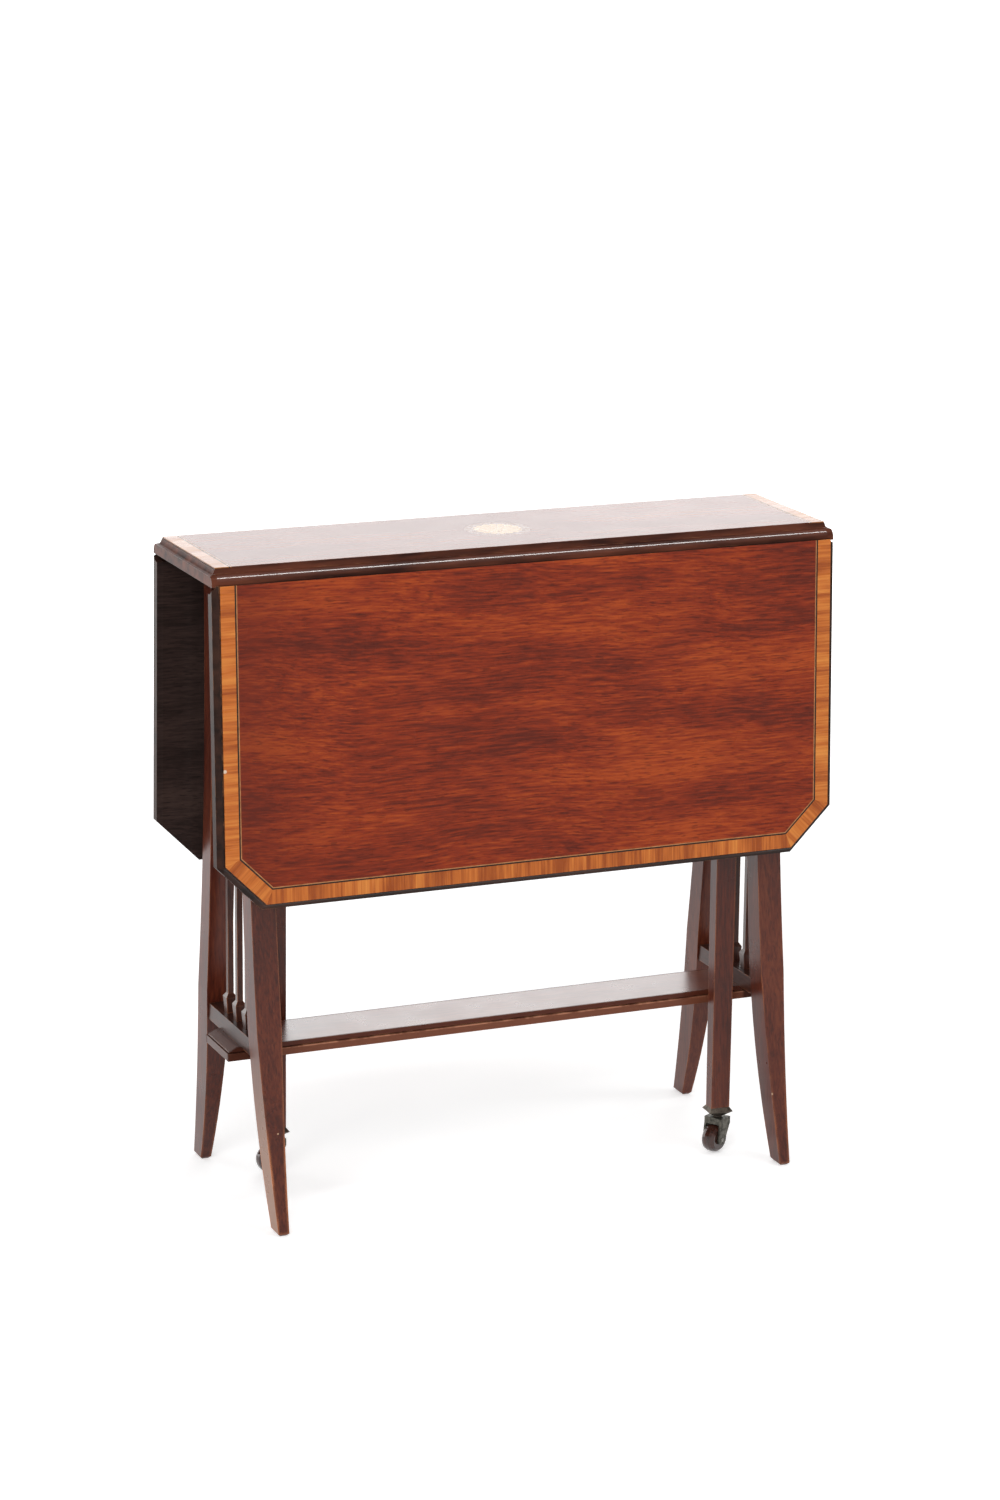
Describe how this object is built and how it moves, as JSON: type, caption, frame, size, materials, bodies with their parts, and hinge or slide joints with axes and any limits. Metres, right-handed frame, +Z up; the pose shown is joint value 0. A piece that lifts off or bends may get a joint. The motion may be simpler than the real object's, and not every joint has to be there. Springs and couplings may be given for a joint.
{
  "type": "sutherland table",
  "caption": "Narrow drop-leaf table with a slim fixed top, canted crossbanded leaves on rule joints, spindled sabre trestles, a flat stretcher and castored gate legs.",
  "frame": {"origin": "on the floor under the middle of the table", "axes": "+X along the table to the right as seen from the front leaf, +Y from the front leaf towards the back leaf, +Z up"},
  "size_m": [0.64, 0.249, 0.6435],
  "materials": {
    "boxwood": "pale stringing, polished",
    "brass": "dull aged brass",
    "brown_ceramic": "glossy brown glaze",
    "dark_mahogany": "dark polished mahogany, worn at the arrises",
    "ebony": "black stringing, polished",
    "iron": "dark antique metal, dull",
    "mahogany": "french polished red mahogany with fine straight grain",
    "satinwood": "golden crossbanding, polished",
    "steel": "plain steel pins and screws"
  },
  "bodies": {
    "frame": {"back_gate_pin": "steel", "back_hinge_block": "dark_mahogany", "back_left_leg": "dark_mahogany", "back_long_rail": "dark_mahogany", "back_right_leg": "dark_mahogany", "fixed_top": "mahogany", "front_gate_pin": "steel", "front_hinge_block": "dark_mahogany", "front_left_leg": "dark_mahogany", "front_long_rail": "dark_mahogany", "front_right_leg": "dark_mahogany", "hinge_block_screws": "steel", "hinge_pins": "steel", "hinge_plate_screws": "steel", "hinge_plates": "brass", "left_back_spindle": "dark_mahogany", "left_front_spindle": "dark_mahogany", "left_lower_rail": "dark_mahogany", "left_middle_spindle": "dark_mahogany", "left_upper_rail": "dark_mahogany", "right_back_spindle": "dark_mahogany", "right_front_spindle": "dark_mahogany", "right_lower_rail": "dark_mahogany", "right_middle_spindle": "dark_mahogany", "right_upper_rail": "dark_mahogany", "stretcher": "dark_mahogany", "stretcher_screws": "steel", "top_bandings": "satinwood", "top_dark_lines": "ebony", "top_light_lines": "boxwood", "top_patera_fan": "boxwood", "top_patera_ground": "satinwood", "top_screws": "steel"},
    "front_leaf": {"front_leaf": "mahogany", "front_leaf_banding": "satinwood", "front_leaf_dark_line": "ebony", "front_leaf_light_line": "boxwood", "front_hinge_flaps": "brass", "front_flap_screws": "steel"},
    "front_gate": {"front_gate_rail": "dark_mahogany", "front_gate_leg": "dark_mahogany", "front_castor_plate": "iron"},
    "front_castor_fork": {"front_castor_fork": "iron", "front_castor_axle": "steel"},
    "front_castor_wheel": {"front_castor_wheel": "brown_ceramic"},
    "back_leaf": {"back_leaf": "mahogany", "back_leaf_banding": "satinwood", "back_leaf_dark_line": "ebony", "back_leaf_light_line": "boxwood", "back_hinge_flaps": "brass", "back_flap_screws": "steel"},
    "back_gate": {"back_gate_rail": "dark_mahogany", "back_gate_leg": "dark_mahogany", "back_castor_plate": "iron"},
    "back_castor_fork": {"back_castor_fork": "iron", "back_castor_axle": "steel"},
    "back_castor_wheel": {"back_castor_wheel": "brown_ceramic"}
  },
  "joints": [
    {"name": "front_leaf_lift", "type": "hinge", "parent": "frame", "child": "front_leaf", "pos_m": [0, -0.076, 0.6285], "axis": [-1, 0, 0], "range_deg": [-2.2, 87.8]},
    {"name": "front_gate_swing", "type": "hinge", "parent": "frame", "child": "front_gate", "pos_m": [-0.014, -0.046, 0.6], "axis": [0, 0, -1], "range_deg": [-3, 1]},
    {"name": "front_castor_swivel", "type": "hinge", "parent": "front_gate", "child": "front_castor_fork", "pos_m": [0.22238, -0.05839, 0.037], "axis": [0, 0, 1], "continuous": true},
    {"name": "front_castor_roll", "type": "hinge", "parent": "front_castor_fork", "child": "front_castor_wheel", "pos_m": [0.218, -0.06081, 0.0143], "axis": [0.4848, -0.8746, 0], "continuous": true},
    {"name": "back_leaf_lift", "type": "hinge", "parent": "frame", "child": "back_leaf", "pos_m": [0, 0.076, 0.6285], "axis": [1, 0, 0], "range_deg": [-2.2, 87.8]},
    {"name": "back_gate_swing", "type": "hinge", "parent": "frame", "child": "back_gate", "pos_m": [0.014, 0.046, 0.6], "axis": [0, 0, -1], "range_deg": [0, 4]},
    {"name": "back_castor_swivel", "type": "hinge", "parent": "back_gate", "child": "back_castor_fork", "pos_m": [-0.214, 0.046, 0.037], "axis": [0, 0, 1], "continuous": true},
    {"name": "back_castor_roll", "type": "hinge", "parent": "back_castor_fork", "child": "back_castor_wheel", "pos_m": [-0.21895, 0.0453, 0.0143], "axis": [0.1392, -0.9903, 0], "continuous": true}
  ]
}
